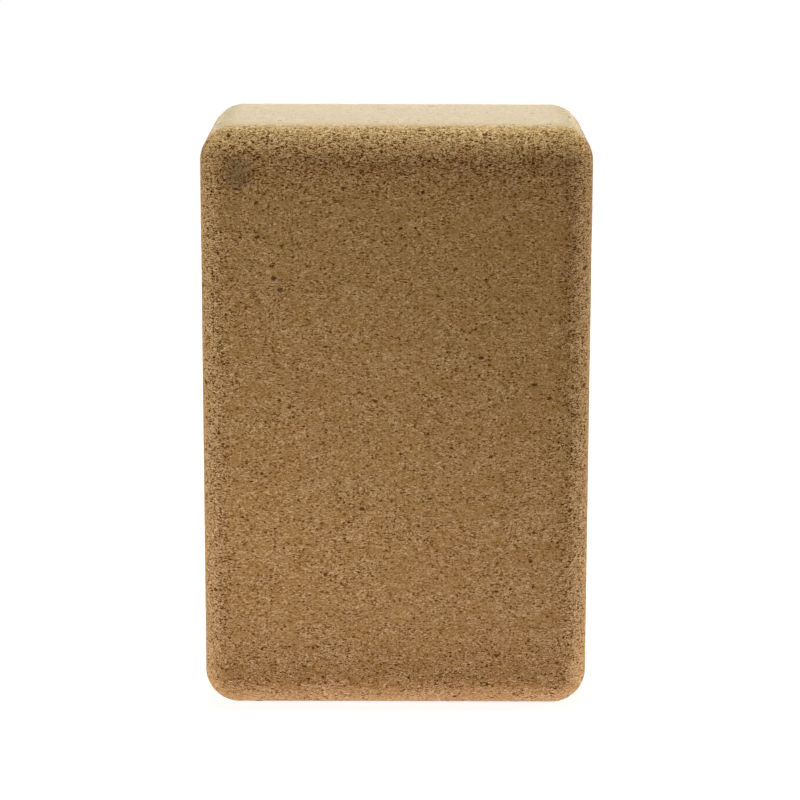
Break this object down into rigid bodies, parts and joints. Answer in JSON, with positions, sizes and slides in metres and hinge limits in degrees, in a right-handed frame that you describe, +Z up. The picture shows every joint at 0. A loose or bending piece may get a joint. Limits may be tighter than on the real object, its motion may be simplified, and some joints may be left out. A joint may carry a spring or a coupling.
{
  "type": "yoga block",
  "caption": "Upright rectangular yoga block of pressed cork granules with every edge rounded, laid on any face to support a hand, foot or seat.",
  "frame": {"origin": "middle of the base, on the surface that the block stands on", "axes": "+Z up along the block's height, +X to the right along its width, and the broad front face looks along -Y"},
  "size_m": [0.151, 0.101, 0.23],
  "materials": {
    "fine_grain_cork": "fine-grain agglomerated cork, sanded, matt, with open grain along the rounded edges",
    "dark_bark": "dark bark granules, matt",
    "amber_cork": "reddish amber cork granules, matt",
    "pale_cork": "pale tan cork granules, matt"
  },
  "bodies": {
    "root": {"pressed_cork_body": "fine_grain_cork", "dark_bark_granules": "dark_bark", "amber_cork_granules": "amber_cork", "pale_cork_granules": "pale_cork"}
  },
  "joints": []
}
